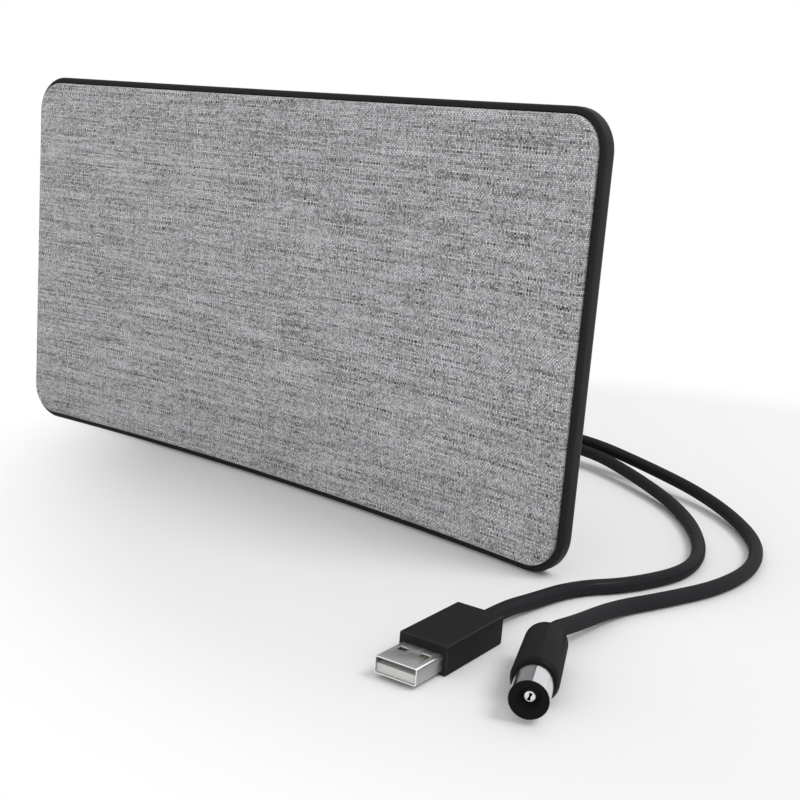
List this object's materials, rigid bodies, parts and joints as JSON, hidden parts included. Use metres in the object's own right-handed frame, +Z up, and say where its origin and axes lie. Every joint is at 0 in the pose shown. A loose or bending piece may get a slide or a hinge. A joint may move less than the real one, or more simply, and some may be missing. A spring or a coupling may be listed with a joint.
{
  "type": "indoor tv antenna",
  "caption": "Curved free-standing indoor television antenna panel with a grey woven front, black housing, amplifier foot, USB power lead and coaxial lead.",
  "frame": {"origin": "on the floor, under the middle of the panel and foot", "axes": "+X along the panel's width, to the right seen from the front; +Y backwards; +Z up"},
  "size_m": [0.314, 0.2313, 0.1397],
  "materials": {
    "housing_black": "fine matte moulded ABS",
    "carrier_black": "moulded ABS",
    "woven_grey": "grey melange plain weave",
    "clear_film": "polyester film",
    "copper": "bare copper",
    "gold": "gold plated",
    "board_green": "green solder mask",
    "tin_plate": "tin plated steel",
    "chip_black": "moulded epoxy",
    "screw_steel": "blackened steel",
    "relief_rubber": "matte rubber",
    "lead_black": "satin PVC jacket",
    "plug_black": "matte moulded PVC",
    "plug_steel": "nickel plated steel",
    "tongue_grey": "moulded nylon",
    "sleeve_chrome": "bright nickel plate",
    "insulator_black": "smooth moulded plastic",
    "contact_nickel": "bright nickel plate"
  },
  "bodies": {
    "root": {"rear_housing": "housing_black", "fabric_carrier": "carrier_black", "front_fabric": "woven_grey", "antenna_film": "clear_film", "dipole_arms": "copper", "feed_pins": "gold", "amplifier_board": "board_green", "shield_can": "tin_plate", "filter_coils": "copper", "amplifier_chip": "chip_black", "housing_screws": "screw_steel", "board_screws": "screw_steel", "usb_strain_relief": "relief_rubber", "coax_strain_relief": "relief_rubber", "usb_cord": "lead_black", "coax_cord": "lead_black", "usb_grip": "plug_black", "usb_shell": "plug_steel", "usb_tongue": "tongue_grey", "usb_contacts": "gold", "coax_grip": "plug_black", "coax_sleeve": "sleeve_chrome", "coax_insulator": "insulator_black", "coax_contact": "contact_nickel"}
  },
  "joints": []
}
